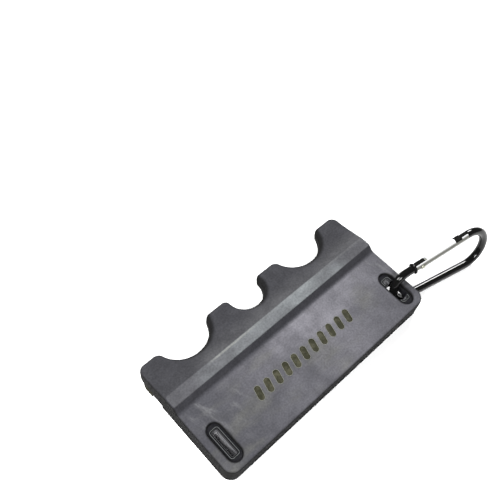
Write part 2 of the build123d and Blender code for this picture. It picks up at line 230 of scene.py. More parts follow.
    # End slots: painted shade in the round of each rim, fading into the plate over 1.4 mm; the straight part
    # is 12 mm
    half_straight = 6.0
    beside = node(
        tree, "ShaderNodeMath", {"operation": "SUBTRACT"}, {1: SLOT_X * MM}, {0: (outward, "Value")}
    )
    along = node(tree, "ShaderNodeMath", {"operation": "SUBTRACT"}, {1: SLOT_Y * MM}, {0: (place, "Y")})
    length = node(tree, "ShaderNodeMath", {"operation": "ABSOLUTE"}, {}, {0: (along, "Value")})
    straight = {1: half_straight * MM}
    beyond = node(tree, "ShaderNodeMath", {"operation": "SUBTRACT"}, straight, {0: (length, "Value")})
    round_end = node(tree, "ShaderNodeMath", {"operation": "MAXIMUM"}, {1: 0.0}, {0: (beyond, "Value")})
    offset = node(tree, "ShaderNodeCombineXYZ", links={"X": (beside, "Value"), "Y": (round_end, "Value")})
    reach = node(tree, "ShaderNodeVectorMath", {"operation": "LENGTH"}, {}, {0: (offset, "Vector")})
    limits = {"From Min": 3.6 * MM, "From Max": 5.0 * MM}
    unshaded = node(tree, "ShaderNodeMapRange", SMOOTH, limits, {"Value": (reach, "Value")})
    links = {0: (unshaded, "Result"), 7: (toothed, 2)}
    toothed = node(tree, "ShaderNodeMix", COLOUR, {6: linear(settings.wall_shade_colour)}, links)
    # Ridge: its flat top is the palest band, partly from rubbing and partly painted sheen. That is strongest
    # within 12 mm of the palest place, and fades out between 40 and 54 mm from the middle
    limits = {"From Min": CREST[0] * MM, "From Max": CREST[1] * MM}
    crest = node(tree, "ShaderNodeMapRange", SMOOTH, limits, {"Value": (place, "Z")})
    limits = {"From Min": 54 * MM, "From Max": 40 * MM}
    centred = node(tree, "ShaderNodeMapRange", SMOOTH, limits, {"Value": (outward, "Value")})
    limits = {"From Min": 26 * MM, "From Max": 12 * MM, "To Min": 0.65}
    near_palest = node(tree, "ShaderNodeMapRange", SMOOTH, limits, {"Value": (aside, "Value")})
    links = {0: (centred, "Result"), 1: (near_palest, "Result")}
    centred = node(tree, "ShaderNodeMath", {"operation": "MULTIPLY"}, {}, links)
    limits = {"From Min": 0.35, "From Max": 0.65, "To Min": 0.35}
    stretches = node(tree, "ShaderNodeMapRange", SMOOTH, limits, {"Value": (smears, "Fac")})
    links = {0: (centred, "Value"), 1: (stretches, "Result")}
    rub_and_sheen = node(tree, "ShaderNodeMath", {"operation": "MULTIPLY"}, {}, links)
    tones = {6: linear(settings.ridge_colour), 7: linear(settings.ridge_rub_and_sheen_colour)}
    ridge_tone = node(tree, "ShaderNodeMix", COLOUR, tones, {0: (rub_and_sheen, "Value")})
    # Corner of the ridge towards the teeth: a pale line 1 mm wide, partly wear and partly a painted
    # highlight, most of all beside the left notch
    front = node(
        tree, "ShaderNodeMath", {"operation": "SUBTRACT"}, {1: RIDGE_CORNER * MM}, {0: (place, "Y")}
    )
    off_line = node(tree, "ShaderNodeMath", {"operation": "ABSOLUTE"}, {}, {0: (front, "Value")})
    limits = {"From Min": 0.2 * MM, "From Max": 0.8 * MM, "To Min": 0.6, "To Max": 0.0}
    line = node(tree, "ShaderNodeMapRange", SMOOTH, limits, {"Value": (off_line, "Value")})
    limits = {"From Min": -42 * MM, "From Max": -34 * MM}
    begun = node(tree, "ShaderNodeMapRange", SMOOTH, limits, {"Value": (place, "X")})
    limits = {"From Min": -24 * MM, "From Max": -4 * MM, "To Min": 1.0, "To Max": 0.15}
    fading = node(tree, "ShaderNodeMapRange", SMOOTH, limits, {"Value": (place, "X")})
    for part in (begun, fading):
        links = {0: (line, 0), 1: (part, "Result")}
        line = node(tree, "ShaderNodeMath", {"operation": "MULTIPLY"}, {}, links)
    links = {0: (line, "Value"), 6: (ridge_tone, 2)}
    lined = node(tree, "ShaderNodeMix", COLOUR, {7: linear(settings.corner_colour)}, links)
    links = {0: (crest, "Result"), 6: (toothed, 2), 7: (lined, 2)}
    rubbed = node(tree, "ShaderNodeMix", COLOUR, {}, links)
    # Walls and steep slopes: painted shade, darker the further they turn from facing up
    facing = node(tree, "ShaderNodeNewGeometry")
    upward = node(tree, "ShaderNodeSeparateXYZ", links={"Vector": (facing, "Normal")})
    limits = {"From Min": 0.25, "From Max": 0.995}
    top = node(tree, "ShaderNodeMapRange", SMOOTH, limits, {"Value": (upward, "Z")})
    links = {0: (top, "Result"), 7: (rubbed, 2)}
    wall_shaded = node(tree, "ShaderNodeMix", COLOUR, {6: linear(settings.wall_shade_colour)}, links)
    # Mould grain 0.9 mm across: its peaks are a little paler, and it breaks every highlight
    grain = node(tree, "ShaderNodeTexNoise", {}, {"Scale": METRE / 0.9, "Detail": 3.0}, spot)
    limits = {"From Min": 0.3, "From Max": 0.7, "To Min": 0.84, "To Max": 1.16}
    speckle = node(tree, "ShaderNodeMapRange", {}, limits, {"Value": (grain, "Fac")})
    # Blotches 6 mm across, where the bloom has taken unevenly
    blotches = node(tree, "ShaderNodeTexNoise", {}, {"Scale": METRE / 6, "Detail": 2.0}, spot)
    limits = {"From Min": 0.3, "From Max": 0.7, "To Min": 0.91, "To Max": 1.09}
    blotch = node(tree, "ShaderNodeMapRange", SMOOTH, limits, {"Value": (blotches, "Fac")})
    links = {0: (speckle, "Result"), 1: (blotch, "Result")}
    value = node(tree, "ShaderNodeMath", {"operation": "MULTIPLY"}, {}, links)
    links = {"Color": (wall_shaded, 2), "Value": (value, "Value")}
    final = node(tree, "ShaderNodeHueSaturation", {}, {}, links)
    tree.links.new(final.outputs["Color"], shader.inputs["Base Color"])
    bump = node(
        tree, "ShaderNodeBump", {}, {"Strength": 1.0, "Distance": 0.05 * MM}, {"Height": (grain, "Fac")}
    )
    tree.links.new(bump.outputs["Normal"], shader.inputs["Normal"])
    return material


def black_rubber(name, hex_colour, pale_colour, roughness):
    """Plain black rubber: soft satin with a fine cast grain of 0.7 mm that is paler on its peaks."""
    material, tree, shader, where = new_material(name, {"Roughness": roughness, "Specular IOR Level": 0.015})
    spot = {"Vector": (where, "Object")}
    grain = node(tree, "ShaderNodeTexNoise", {}, {"Scale": METRE / 0.7, "Detail": 3.0}, spot)
    peaks = node(
        tree, "ShaderNodeMapRange", SMOOTH, {"From Min": 0.4, "From Max": 0.75}, {"Value": (grain, "Fac")}
    )
    tones = {6: linear(hex_colour), 7: linear(pale_colour)}
    tone = node(tree, "ShaderNodeMix", COLOUR, tones, {0: (peaks, "Result")})
    tree.links.new(tone.outputs[2], shader.inputs["Base Color"])
    bump = node(
        tree, "ShaderNodeBump", {}, {"Strength": 1.0, "Distance": 0.04 * MM}, {"Height": (grain, "Fac")}
    )
    tree.links.new(bump.outputs["Normal"], shader.inputs["Normal"])
    return material


def bar_enamel(settings):
    """Dark olive satin enamel in the sunk bars, pooled unevenly so that it catches broken light."""
    material, tree, shader, where = new_material(
        "bar_enamel", {"Roughness": 0.55, "Specular IOR Level": 0.08}
    )
    spot = {"Vector": (where, "Object")}
    pools = node(tree, "ShaderNodeTexNoise", {}, {"Scale": METRE / 3.0, "Detail": 3.0}, spot)
    rise = node(
        tree, "ShaderNodeMapRange", SMOOTH, {"From Min": 0.4, "From Max": 0.75}, {"Value": (pools, "Fac")}
    )
    tones = {6: linear(settings.bar_colour), 7: linear(settings.bar_high_colour)}
    tone = node(tree, "ShaderNodeMix", COLOUR, tones, {0: (rise, "Result")})
    tree.links.new(tone.outputs[2], shader.inputs["Base Color"])
    bump = node(
        tree, "ShaderNodeBump", {}, {"Strength": 1.0, "Distance": 0.05 * MM}, {"Height": (pools, "Fac")}
    )
    tree.links.new(bump.outputs["Normal"], shader.inputs["Normal"])
    return material


def plain_metal(name, hex_colour, roughness, scratch_mm, depth_mm):
    """Bare metal: polishing marks of a real width, which spread and tighten its highlights."""
    material, tree, shader, where = new_material(name, {"Metallic": 1.0, "Base Color": linear(hex_colour)})
    spot = {"Vector": (where, "Object")}
    marks = node(tree, "ShaderNodeTexNoise", {}, {"Scale": METRE / scratch_mm, "Detail": 3.0}, spot)
    limits = {"From Min": 0.3, "From Max": 0.7, "To Min": roughness * 0.8, "To Max": roughness * 1.3}
    polish = node(tree, "ShaderNodeMapRange", SMOOTH, limits, {"Value": (marks, "Fac")})
    tree.links.new(polish.outputs["Result"], shader.inputs["Roughness"])
    bump = node(
        tree, "ShaderNodeBump", {}, {"Strength": 1.0, "Distance": depth_mm * MM}, {"Height": (marks, "Fac")}
    )
    tree.links.new(bump.outputs["Normal"], shader.inputs["Normal"])
    return material


def polished_gate(settings):
    """Satin aluminium tube: almost white, with a grey line of painted shade along its lower outer side."""
    material, tree, shader, where = new_material("polished_aluminium", {"Metallic": 0.4, "Roughness": 0.35})
    spot = {"Vector": (where, "Object")}
    # Distance from the line of painted shade: the scalar product with the direction across it, less the
    # line's own
    across = OUT * math.cos(SHADE_LINE_TURN) - GATE_UP * math.sin(SHADE_LINE_TURN)
    side = node(
        tree, "ShaderNodeVectorMath", {"operation": "DOT_PRODUCT"}, {1: tuple(across)}, {0: (where, "Object")}
    )
    centre = {1: (float(RIVET @ across) + SHADE_LINE_OFFSET) * MM}
    shift = node(tree, "ShaderNodeMath", {"operation": "SUBTRACT"}, centre, {0: (side, "Value")})
    away = node(tree, "ShaderNodeMath", {"operation": "ABSOLUTE"}, {}, {0: (shift, "Value")})
    limits = {"From Min": 1.6 * MM, "From Max": 0.3 * MM}
    shade_line = node(tree, "ShaderNodeMapRange", SMOOTH, limits, {"Value": (away, "Value")})
    tones = {6: linear(settings.gate_colour), 7: linear(settings.gate_shade_colour)}
    tone = node(tree, "ShaderNodeMix", COLOUR, tones, {0: (shade_line, "Result")})
    tree.links.new(tone.outputs[2], shader.inputs["Base Color"])
    # Drawing marks 0.6 mm apart keep the highlight from being a mirror
    marks = node(tree, "ShaderNodeTexNoise", {}, {"Scale": METRE / 0.6, "Detail": 3.0}, spot)
    bump = node(
        tree, "ShaderNodeBump", {}, {"Strength": 1.0, "Distance": 0.008 * MM}, {"Height": (marks, "Fac")}
    )
    tree.links.new(bump.outputs["Normal"], shader.inputs["Normal"])
    return material


def sleeve_nylon(settings):
    """Grey nylon sleeve: dark for 1 mm at its mouth, and below that painted light, palest deep down."""
    material, tree, shader, where = new_material(
        "sleeve_nylon", {"Roughness": 0.5, "Specular IOR Level": 0.4}
    )
    spot = {"Vector": (where, "Object")}
    place = node(tree, "ShaderNodeSeparateXYZ", links=spot)
    # Painted light on the inner walls, palest below Z = 5.5 mm
    limits = {"From Min": 5.5 * MM, "From Max": 9.0 * MM}
    depth = node(tree, "ShaderNodeMapRange", SMOOTH, limits, {"Value": (place, "Z")})
    tones = {6: linear(settings.deep_light_colour), 7: linear(settings.sleeve_light_colour)}
    painted_light = node(tree, "ShaderNodeMix", COLOUR, tones, {0: (depth, "Result")})
    limits = {"From Min": 10.9 * MM, "From Max": 11.3 * MM}
    mouth = node(tree, "ShaderNodeMapRange", SMOOTH, limits, {"Value": (place, "Z")})
    links = {0: (mouth, "Result"), 6: (painted_light, 2)}
    tone = node(tree, "ShaderNodeMix", COLOUR, {7: linear(settings.sleeve_colour)}, links)
    tree.links.new(tone.outputs[2], shader.inputs["Base Color"])
    # Fine mould grain of 0.5 mm
    grain = node(tree, "ShaderNodeTexNoise", {}, {"Scale": METRE / 0.5}, spot)
    bump = node(
        tree, "ShaderNodeBump", {}, {"Strength": 1.0, "Distance": 0.02 * MM}, {"Height": (grain, "Fac")}
    )
    tree.links.new(bump.outputs["Normal"], shader.inputs["Normal"])
    return material


def black_anodised(settings):
    """Black anodised aluminium rod: near-black gloss with a crisp highlight, and a faint drawn grain."""
    material, tree, shader, where = new_material(
        "black_anodised", {"Roughness": 0.08, "Specular IOR Level": 0.19}
    )
    spot = {"Vector": (where, "Object")}
    grain = node(tree, "ShaderNodeTexNoise", {}, {"Scale": METRE / 0.8, "Detail": 3.0}, spot)
    worn = node(
        tree, "ShaderNodeMapRange", SMOOTH, {"From Min": 0.5, "From Max": 0.85}, {"Value": (grain, "Fac")}
    )
    tones = {6: linear(settings.clip_colour), 7: linear(settings.worn_colour)}
    tone = node(tree, "ShaderNodeMix", COLOUR, tones, {0: (worn, "Result")})
    tree.links.new(tone.outputs[2], shader.inputs["Base Color"])
    bump = node(
        tree, "ShaderNodeBump", {}, {"Strength": 1.0, "Distance": 0.01 * MM}, {"Height": (grain, "Fac")}
    )
    tree.links.new(bump.outputs["Normal"], shader.inputs["Normal"])
    return material


# ---------------------------------------------------------------- surfaces

def surface(name, grids, close_rows=False, close_columns=True, cap=False):
    """A mesh from (rows, columns, 3) grids in millimetres: each cell is a quad, and caps close both ends."""
    vertices, faces, start = [], [], 0
    for grid in grids:
        rows, columns = grid.shape[:2]
        index = start + np.arange(rows * columns).reshape(rows, columns)
        a = index if close_rows else index[:-1]
        b = np.roll(index, -1, axis=0) if close_rows else index[1:]
        if not close_columns:
            quads = np.stack([a[:, :-1], a[:, 1:], b[:, 1:], b[:, :-1]], axis=-1)
        else:
            quads = np.stack([a, np.roll(a, -1, axis=1), np.roll(b, -1, axis=1), b], axis=-1)
        faces.extend(quads.reshape(-1, 4).tolist())
        if cap:
            first, last = (index[0], index[-1]) if close_columns else (index[:, 0], index[:, -1])
            faces.append(first[::-1].tolist())
            faces.append(last.tolist())
        vertices.append(grid.reshape(-1, 3))
        start += rows * columns
    mesh = bpy.data.meshes.new(name)
    mesh.from_pydata((np.concatenate(vertices) * MM).tolist(), [], faces)
    shape = bmesh.new()
    shape.from_mesh(mesh)
    bmesh.ops.remove_doubles(shape, verts=shape.verts, dist=1e-7)
    bmesh.ops.recalc_face_normals(shape, faces=shape.faces)
    shape.to_mesh(mesh)
    shape.free()
    mesh.shade_smooth()
    mesh.set_sharp_from_angle(angle=SHARP_SURFACE)
    piece = bpy.data.objects.new(name, mesh)
    bpy.context.scene.collection.objects.link(piece)
    return piece


def carried(path, side, up, section):
    """A section carried along a path: point = path + side * section x + up * section y."""
    return path[:, None] + side[:, None] * section[None, :, :1] + up[:, None] * section[None, :, 1:]


def turned(base, axis, profile, count=48):
    """A profile of (distance along the axis, radius) pairs turned round the axis."""
    angle = np.linspace(0, 2 * math.pi, count, endpoint=False)
    helper = np.array([0.0, 0.0, 1.0]) if abs(axis[2]) < 0.9 else np.array([1.0, 0.0, 0.0])
    first = np.cross(axis, helper)
    first = first / np.linalg.norm(first)
    second = np.cross(axis, first)
    circle = np.cos(angle)[:, None] * first + np.sin(angle)[:, None] * second
    profile = np.array(profile, float)
    return base + profile[:, :1, None] * axis + profile[:, 1:, None] * circle[None]


def block(outline, x_axis, y_axis, z_axis, base, low, high, edge):
    """An outline extruded between two heights, with its rims drawn in by an edge radius over four rows."""
    outline = np.array(outline, float)
    middle = outline.mean(axis=0)
    reach = np.abs(outline - middle).max(axis=0)
    turn = np.linspace(0, math.pi / 2, 4)
    inset = edge * (1 - np.sin(turn))
    heights = np.concatenate([low + edge - edge * np.cos(turn), high - edge + edge * np.cos(turn[::-1])])
    insets = np.concatenate([inset, inset[::-1]])
    shrink = 1 - insets[:, None] / reach
    flat = middle + (outline - middle)[None] * shrink[:, None, :]
    return base + flat[..., :1] * x_axis + flat[..., 1:] * y_axis + heights[:, None, None] * z_axis


def stadium_outline(length, width, count=40):
    """A stadium along Y: half circles of half the width, joined by straight sides."""
    angle = np.linspace(0, 2 * math.pi, count, endpoint=False)
    radius = width / 2
    shift = np.where(np.sin(angle) >= 0, 1, -1) * (length / 2 - radius)
    return np.stack([radius * np.cos(angle), radius * np.sin(angle) + shift], axis=-1)


def rounded_box_outline(width, length, radius, steps=6):
    """A rectangle with round corners, as four quarter circles."""
    quarter = np.linspace(0, math.pi / 2, steps)
    angle = np.concatenate([quarter + turn * math.pi / 2 for turn in range(4)])
    sign_x = np.repeat([1, -1, -1, 1], steps)
    sign_y = np.repeat([1, 1, -1, -1], steps)
    x = sign_x * (width / 2 - radius) + radius * np.cos(angle)
    y = sign_y * (length / 2 - radius) + radius * np.sin(angle)
    return np.stack([x, y], axis=-1)


def clip_path(samples=28):
    """The rod's middle line: collar, arc of the small bend, straight spine, arc of the large bend."""
    start = SMALL_BEND * np.array([-math.sin(SLOPE), math.cos(SLOPE)])
    heading = np.array([math.cos(SLOPE), math.sin(SLOPE)])
    collar_to_rivet = 4.0
    lead = start + heading * (RIVET_STATION - collar_to_rivet) * np.linspace(1, 0, 8, endpoint=False)[:, None]
    small = np.linspace(math.pi / 2 + SLOPE, 3 * math.pi / 2, samples)
    bend_one = SMALL_BEND * np.stack([np.cos(small), np.sin(small)], axis=-1)
    run = np.stack([np.linspace(0, SPINE, 24)[1:-1], np.full(22, -SMALL_BEND)], axis=-1)
    large = np.linspace(-math.pi / 2, math.pi / 2 + SLOPE, samples)
    centre = np.array([SPINE, LARGE_BEND - SMALL_BEND])
    bend_two = centre + LARGE_BEND * np.stack([np.cos(large), np.sin(large)], axis=-1)
    return np.concatenate([lead, bend_one, run, bend_two])


def smooth_copy(name, source):
    """A CAD node's mesh with its loose triangles joined, so that round faces shade smoothly."""
    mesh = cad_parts[source].data.copy()
    mesh.name = name
    mesh.materials.clear()
    shape = bmesh.new()
    shape.from_mesh(mesh)
    bmesh.ops.remove_doubles(shape, verts=shape.verts, dist=1e-6)
    bmesh.ops.dissolve_limit(shape, angle_limit=math.radians(0.2), verts=shape.verts, edges=shape.edges)
    shape.to_mesh(mesh)
    shape.free()
    mesh.shade_smooth()
    mesh.set_sharp_from_angle(angle=SHARP_MOULDED)
    piece = bpy.data.objects.new(name, mesh)
    bpy.context.scene.collection.objects.link(piece)
    weighted = piece.modifiers.new("weighted", "WEIGHTED_NORMAL")
    weighted.keep_sharp = True
    return piece


def fit(piece, material, body, replaced=()):
    """Gives a piece its material and its body, and hides the CAD parts it replaces."""
    piece.data.materials.clear()
    piece.data.materials.append(material)
    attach(piece, body)
    if replaced:
        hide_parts(*replaced)


# ---------------------------------------------------------------- settings

class HolderSettings(bpy.types.PropertyGroup):
    """Colours of the moulding and sizes of the sunk bars."""

    shell_colour: bpy.props.StringProperty(
        name="Plate", description="Colour of the flat plate", default="#3B3B3F"
    )
    bloom_colour: bpy.props.StringProperty(
        name="Bloom", description="Colour of the pale patches", default="#5F5E63"
    )
    smear_colour: bpy.props.StringProperty(
        name="Smears", description="Colour of the wiped smears", default="#51514D"
    )
    scuff_colour: bpy.props.StringProperty(
        name="Scuffs", description="Colour of the hand marks", default="#5B5B5D"
    )
    # Painted shade in the crease behind the ridge
    crease_shade_colour: bpy.props.StringProperty(
        name="Crease", description="Colour behind the ridge", default="#333337"
    )
    # Painted shade: the teeth are darker than the plate
    tooth_shade_colour: bpy.props.StringProperty(
        name="Teeth", description="Colour in front of the ridge", default="#303033"
    )
    tooth_smear_colour: bpy.props.StringProperty(
        name="Tooth clouds", description="Its clouds", default="#3F3F41"
    )
    ridge_colour: bpy.props.StringProperty(name="Ridge", description="Colour of the ridge", default="#424245")
    # The ridge's rubbed stretches are partly rubbing and partly painted sheen
    ridge_rub_and_sheen_colour: bpy.props.StringProperty(
        name="Ridge rub", description="Its rubbed stretches", default="#636668"
    )
    # The worn corner is partly wear and partly a painted highlight
    corner_colour: bpy.props.StringProperty(
        name="Ridge corner", description="Its worn corner", default="#6F706D"
    )
    # Painted shade on walls, slopes and the rims of notches and slots
    wall_shade_colour: bpy.props.StringProperty(
        name="Walls", description="Colour of walls and slopes", default="#131313"
    )
    bar_colour: bpy.props.StringProperty(
        name="Bar fill", description="Colour of the bar fill", default="#242419"
    )
    bar_high_colour: bpy.props.StringProperty(
        name="Bar high", description="Colour of its thin spots", default="#3B3A2E"
    )
    bead_colour: bpy.props.StringProperty(
        name="Bar edge", description="Colour of the bar edges", default="#5C5C56"
    )
    sleeve_colour: bpy.props.StringProperty(
        name="Sleeve", description="Top of the sleeves", default="#262628"
    )
    # Painted light on the sleeves' inner walls, palest deep down
    sleeve_light_colour: bpy.props.StringProperty(
        name="Sleeve light", description="Painted light in the sleeves", default="#666669"
    )
    deep_light_colour: bpy.props.StringProperty(name="Deep light", description="Painted light deep down", default="#E4E4E6")
    # Pale: a painted highlight on the edge of each mouth
    lip_highlight_colour: bpy.props.StringProperty(
        name="Mouth bead", description="Bead round the mouths", default="#515353"
    )
    bar_count: bpy.props.IntProperty(name="Bars", description="How many sunk bars", default=11, min=1, max=20)
    bar_pitch: bpy.props.FloatProperty(
        name="Pitch", description="Distance between bars", default=5.9 * MM, subtype="DISTANCE", unit="LENGTH"
    )
    bar_slant: bpy.props.FloatProperty(
        name="Slant", description="Lean of each bar",
        default=math.radians(16), subtype="ANGLE", unit="ROTATION",
    )


class ClipSettings(bpy.types.PropertyGroup):
    """Colours and rod size of the clip."""

    clip_colour: bpy.props.StringProperty(name="Rod", description="Colour of the rod", default="#090909")
    worn_colour: bpy.props.StringProperty(
        name="Worn rod", description="Colour of its worn grain", default="#131313"
    )
    # Painted shade along the gate's lower outer side
    gate_shade_colour: bpy.props.StringProperty(
        name="Gate shade", description="Colour of the gate's painted shade line", default="#64645E"
    )
    gate_colour: bpy.props.StringProperty(name="Gate", description="Colour of the gate", default="#E4E5E6")
    rod_radius: bpy.props.FloatProperty(
        name="Rod radius", description="Half of the rod's height",
        default=2.3 * MM, subtype="DISTANCE", unit="LENGTH",
    )
    rod_flat: bpy.props.FloatProperty(
        name="Rod flat", description="Half of the rod's thickness",
        default=2.05 * MM, subtype="DISTANCE", unit="LENGTH",
    )


class StageSettings(bpy.types.PropertyGroup):
    """Floor, light and camera of the studio."""

    floor_colour: bpy.props.StringProperty(name="Floor", description="Colour of the floor", default="#FFFFFF")
    right_power: bpy.props.FloatProperty(
        name="Right softbox", description="Power over the clip", default=12.6, subtype="POWER", unit="POWER"
    )
    left_power: bpy.props.FloatProperty(
        name="Left softbox", description="Power on the notch side",
        default=12.6, subtype="POWER", unit="POWER",
    )
    rear_power: bpy.props.FloatProperty(
        name="Rear softbox", description="Power from behind the plate",
        default=12.6, subtype="POWER", unit="POWER",
    )
    softbox_size: bpy.props.FloatProperty(
        name="Softbox", description="Side of each softbox", default=0.24, subtype="DISTANCE", unit="LENGTH"
    )
    sky_strength: bpy.props.FloatProperty(
        name="Sky", description="Strength of the white surround", default=0.22
    )
    lens: bpy.props.FloatProperty(
        name="Lens", description="Focal length of the camera", default=49.15, subtype="DISTANCE_CAMERA"
    )


# ---------------------------------------------------------------- operators

class HOLDER_OT_moulding(bpy.types.Operator):
    """Finish the top shell, base pad, tooth feet, slot liners and ballast plate"""

    bl_idname = "holder.moulding"
    bl_label = "Moulding"

    def execute(self, context):
        settings = context.scene.holder_settings
        shell = smooth_copy("shell_moulding", "top_shell")
        fit(shell, charcoal_rubber(settings), HOLDER, ["top_shell"])
        sole = black_rubber("sole_rubber", "#0E0E0E", "#171717", 0.7)
        fit(smooth_copy("sole_pad", "base_pad"), sole, HOLDER, ["base_pad"])
        feet = black_rubber("foot_rubber", "#1B1B13", "#2B2B1F", 0.7)
        fit(smooth_copy("tooth_lips", "tooth_feet"), feet, HOLDER, ["tooth_feet"])
        inserts = smooth_copy("slot_inserts", "slot_liners")
        liner = black_rubber("insert_rubber", "#17171A", "#202021", 0.6)
        fit(inserts, liner, HOLDER, ["slot_liners"])
        ballast = smooth_copy("ballast_bar", "ballast_plate")
        mill_steel = plain_metal("mill_steel", "#85868A", 0.45, 1.5, 0.02)
        fit(ballast, mill_steel, HOLDER, ["ballast_plate"])
        return {"FINISHED"}


class HOLDER_OT_bars(bpy.types.Operator):
    """Fill the row of sunk bars and edge each one"""

    bl_idname = "holder.bars"
    bl_label = "Sunk bars"

    def execute(self, context):
        settings = context.scene.holder_settings
        pitch = settings.bar_pitch / MM
        lean = settings.bar_slant
        turn = np.array([[math.cos(lean), -math.sin(lean)], [math.sin(lean), math.cos(lean)]])
        places = (np.arange(settings.bar_count) - (settings.bar_count - 1) / 2) * pitch
        fills, edges = [], []
        for shift in places:
            middle = np.array([BAR_ROW[0] + shift, BAR_ROW[1]])
            # Fill: rings of a shrinking stadium, high at its wall and sinking to a shallow pool
            shrink = np.array([1.0, 0.94, 0.85, 0.5, 0.08])
            depth = np.array([-0.1, -0.18, -0.22, -0.24, -0.24])
            outline = stadium_outline(7.15, 3.15) @ turn
            rings = middle + outline[None] * shrink[:, None, None]
            fills.append(
                np.concatenate([rings, np.broadcast_to((PLATE_TOP + depth)[:, None, None], (5, 40, 1))], -1)
            )
            # Edge: a fine raised bead round the bar
            bead_angle = np.linspace(0, 2 * math.pi, 8, endpoint=False)
            width = 3.3 + 0.26 * np.cos(bead_angle)
            rows = [stadium_outline(w + 4.0, w) @ turn + middle for w in width]
            height = PLATE_TOP + 0.04 + 0.12 * np.sin(bead_angle)
            bead = np.concatenate([np.array(rows), np.broadcast_to(height[:, None, None], (8, 40, 1))], -1)
            edges.append(bead)
        fill = surface("bar_fill", fills)
        fit(fill, bar_enamel(settings), HOLDER)
        bead = surface("bar_beads", edges, close_rows=True)
        fit(bead, black_rubber("bead_rubber", settings.bead_colour, "#6A6A66", 0.45), HOLDER)
        return {"FINISHED"}


class HOLDER_OT_sleeves(bpy.types.Operator):
    """Line the mouths of the slot inserts with thin sleeves, and draw a fine bead round each mouth"""

    bl_idname = "holder.sleeves"
    bl_label = "Slot sleeves"

    def execute(self, context):
        settings = context.scene.holder_settings
        # Each loop: outer and inner outline, and a profile of (share of the way inwards, height)
        sleeve = (rounded_box_outline(3.383, 14.328, 0.9), rounded_box_outline(2.786, 13.731, 0.6))
        wall = [(0.0, 0.6), (0.0, 12.05), (0.2, 12.2), (0.73, 12.22), (1.0, 12.05), (1.0, 0.6)]
        edge = (rounded_box_outline(5.1, 15.5, 1.3), rounded_box_outline(4.6, 15.0, 1.05))
        bead = [(0.0, 12.3), (0.1, 12.48), (0.5, 12.54), (0.9, 12.48), (1.0, 12.3)]
        # The mouth bead's pale tone is a painted highlight on the edge of each mouth
        line = black_rubber("mouth_rubber", settings.lip_highlight_colour, "#5C5E5E", 0.5)
        for label, (outer, inner), profile, finish in (
            ("sleeve", sleeve, wall, sleeve_nylon(settings)),
            ("bead", edge, bead, line),
        ):
            blend, height = np.array(profile).T[:, :, None, None]
            rings = outer[None] * (1 - blend) + inner[None] * blend
            height = np.broadcast_to(height, (len(profile), outer.shape[0], 1))
            left = np.concatenate([rings + np.array([-SLOT_X, SLOT_Y]), height], -1)
            fit(surface(f"left_{label}", [left], close_rows=True), finish, HOLDER)
            # Right slot: only the two ends of each loop are left beside the opening for the rod
            for end, first, last, low, high in (("front", 0, 12, 4.55, 8.0), ("rear", 12, 24, -8.0, -5.75)):
                ends = rings[:, first:last].copy()
                ends[..., 1] = np.clip(ends[..., 1], low, high)
                grid = np.concatenate([ends + np.array([SLOT_X, SLOT_Y]), height[:, first:last]], -1)
                lead = grid[:, :1].copy()
                tail = grid[:, -1:].copy()
                cut = SLOT_Y + (low if first == 0 else high)
                lead[..., 1] = cut
                tail[..., 1] = cut
                grid = np.concatenate([lead, grid, tail], axis=1)
                piece = surface(
                    f"right_{label}_{end}", [grid], close_rows=True, close_columns=False, cap=True
                )
                fit(piece, finish, HOLDER)
        return {"FINISHED"}


class HOLDER_OT_clip(bpy.types.Operator):
    """Bend the clip's rod and add its collar, tang and T nose"""

    bl_idname = "holder.clip"
    bl_label = "Clip body"

    def execute(self, context):
        settings = context.scene.clip_settings
        black = black_anodised(settings)
        flat = clip_path()
        path = PIVOT + flat[:, :1] * ALONG + flat[:, 1:] * ACROSS
        tangent = np.gradient(path, axis=0)
        tangent = tangent / np.linalg.norm(tangent, axis=1, keepdims=True)
        side = np.cross(np.broadcast_to(OUT, path.shape), tangent)
        # Section: a superellipse of power 2.1, higher than it is thick, like a round rod pressed flat
        angle = np.linspace(0, 2 * math.pi, 40, endpoint=False)
        power = 2 / 2.1
        rim = np.stack(
            [
                settings.rod_radius / MM * np.sign(np.cos(angle)) * np.abs(np.cos(angle)) ** power,
                settings.rod_flat / MM * np.sign(np.sin(angle)) * np.abs(np.sin(angle)) ** power,
            ],
            axis=-1,
        )
        rod = carried(path, side, np.broadcast_to(OUT, path.shape), rim)
        fit(surface("clip_rod", [rod], cap=True), black, CLIP, ["clip_body"])
        matt = black_rubber("matt_anodising", "#0B0B0A", "#171715", 0.5)
        # Collar: a disc 1.2 mm thick with rounded rims, turned round the gate's line
        collar_base = RIVET - GATE_ALONG * 5.2
        back = [(0, 0.01), (0, 2.6), (0.1, 2.82), (0.3, 2.95)]
        front = [(0.9, 2.95), (1.1, 2.82), (1.2, 2.6), (1.2, 0.01)]
        collar = surface("clip_collar", [turned(collar_base, GATE_ALONG, back + front)])
        fit(collar, black, CLIP)
        # Tang, and the T nose made of a neck and a head: outlines extruded across the gate's line
        tang = rounded_box_outline(6.65, 4.4, 0.3) + np.array([-0.875, 0.0])
        tang_block = block(tang, GATE_ALONG, GATE_UP, OUT, RIVET, -1.1, 1.1, 0.15)
        fit(surface("clip_tang", [tang_block], cap=True), matt, CLIP)
        head_back = NOSE_STATION - 8.4
        neck = rounded_box_outline(5.6, 3.8, 0.3) + np.array([NOSE_STATION - 2.7, 0.0])
        neck_block = block(neck, GATE_ALONG, GATE_UP, OUT, RIVET, -0.85, 0.85, 0.12)
        head = rounded_box_outline(3.6, 3.8, 0.5) + np.array([head_back + 1.8, 0.0])
        head_block = block(head, GATE_ALONG, GATE_UP, OUT, RIVET, -1.6, 1.6, 0.3)
        fit(surface("clip_tongue", [neck_block, head_block], cap=True), matt, CLIP)
        return {"FINISHED"}


